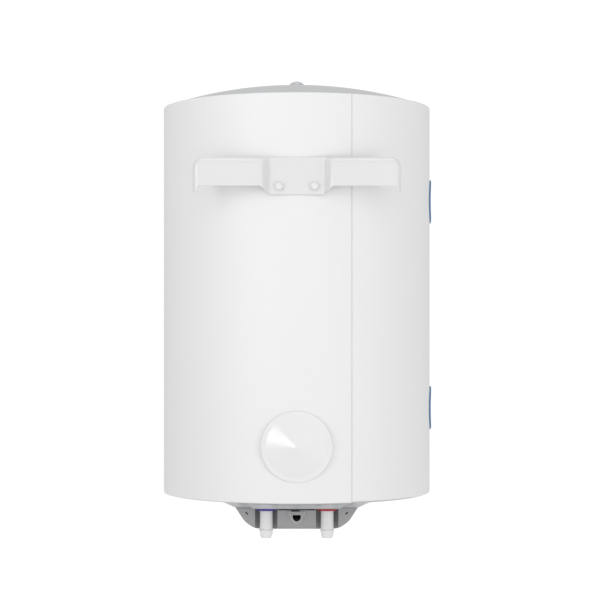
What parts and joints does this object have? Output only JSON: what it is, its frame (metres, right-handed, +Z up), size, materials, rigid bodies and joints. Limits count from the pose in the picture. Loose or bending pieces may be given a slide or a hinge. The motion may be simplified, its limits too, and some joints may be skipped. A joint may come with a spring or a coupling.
{
  "type": "tank water heater",
  "caption": "Wall-hung cylindrical storage water heater with rear wall bracket, bottom cover, hot and cold nipples and capped coil ports on one side.",
  "frame": {"origin": "on the wall plane, in the middle of the width, at the lower edge of the bracket wings that hangs on the wall hooks", "axes": "+Z up; the wall is the plane y = 0 and the heater lies at y < 0, so its front faces -Y; cold inlet on +X, hot outlet and coil ports on -X"},
  "size_m": [0.4568, 0.472, 0.7666],
  "materials": {
    "shell_white": "satin white powder coat",
    "lid_grey": "light grey, glossy",
    "cover_grey": "mid grey, fine satin grain",
    "bracket_white": "white powder coat",
    "white_plastic": "glossy white",
    "pipe_white": "white enamel",
    "blue_plastic": "satin blue",
    "cold_blue": "dark blue",
    "hot_red": "red",
    "enamel": "glass enamel",
    "foam": "rigid foam",
    "zinc": "zinc plated",
    "copper": "bare copper",
    "magnesium": "cast rod",
    "brass": "bright",
    "rubber": "black",
    "black_plastic": "black",
    "lens_amber": "clear amber",
    "wire_brown": "cable sheath",
    "wire_blue": "cable sheath"
  },
  "bodies": {
    "root": {"outer_shell": "shell_white", "top_lid": "lid_grey", "top_plug": "lid_grey", "bottom_lid": "lid_grey", "inner_tank": "enamel", "foam_insulation": "foam", "flange_neck": "enamel", "flange_gasket": "rubber", "heater_flange": "zinc", "heating_element": "copper", "element_terminal_left": "brass", "element_terminal_right": "brass", "thermowell": "copper", "magnesium_anode": "magnesium", "anode_nut": "zinc", "cold_inlet_nipple": "pipe_white", "hot_outlet_nipple": "pipe_white", "cold_diffuser": "white_plastic", "cold_ring": "cold_blue", "hot_ring": "hot_red", "heat_exchanger_coil": "enamel", "coil_port_lower": "zinc", "coil_port_upper": "zinc", "wall_bracket": "bracket_white", "rear_spacer_cap": "white_plastic", "bottom_cover": "cover_grey", "thermostat": "black_plastic", "terminal_block": "black_plastic", "thermal_cutout": "black_plastic", "earth_screw": "brass", "cable_clamp": "black_plastic", "indicator_lens": "lens_amber", "indicator_lamp": "white_plastic", "lead_live": "wire_brown", "lead_neutral": "wire_blue", "flange_bolt_1": "zinc", "flange_bolt_2": "zinc", "flange_bolt_3": "zinc", "flange_bolt_4": "zinc", "flange_bolt_5": "zinc", "flange_bolt_6": "zinc", "bracket_boss_left": "zinc", "bracket_washer_left": "zinc", "bracket_bolt_left": "zinc", "cover_screw_left": "zinc", "cover_rivet_nut_left": "zinc", "clamp_screw_left": "zinc", "bracket_boss_right": "zinc", "bracket_washer_right": "zinc", "bracket_bolt_right": "zinc", "cover_screw_right": "zinc", "cover_rivet_nut_right": "zinc", "clamp_screw_right": "zinc"},
    "cold_cap": {"cold_cap": "white_plastic"},
    "hot_cap": {"hot_cap": "white_plastic"},
    "port_cap_lower": {"port_cap_lower": "blue_plastic"},
    "port_cap_upper": {"port_cap_upper": "blue_plastic"},
    "knob": {"control_knob": "white_plastic", "knob_spindle": "zinc"}
  },
  "joints": [
    {"name": "knob_turn", "type": "hinge", "parent": "root", "child": "knob", "pos_m": [0, -0.265, -0.561], "axis": [0, 0, -1], "range_deg": [0, 270]},
    {"name": "cold_cap_pull", "type": "slide", "parent": "root", "child": "cold_cap", "axis": [0, 0, -1], "range_m": [0, 0.03]},
    {"name": "hot_cap_pull", "type": "slide", "parent": "root", "child": "hot_cap", "axis": [0, 0, -1], "range_m": [0, 0.03]},
    {"name": "port_cap_lower_pull", "type": "slide", "parent": "root", "child": "port_cap_lower", "axis": [-1, 0, 0], "range_m": [0, 0.03]},
    {"name": "port_cap_upper_pull", "type": "slide", "parent": "root", "child": "port_cap_upper", "axis": [-1, 0, 0], "range_m": [0, 0.03]}
  ]
}
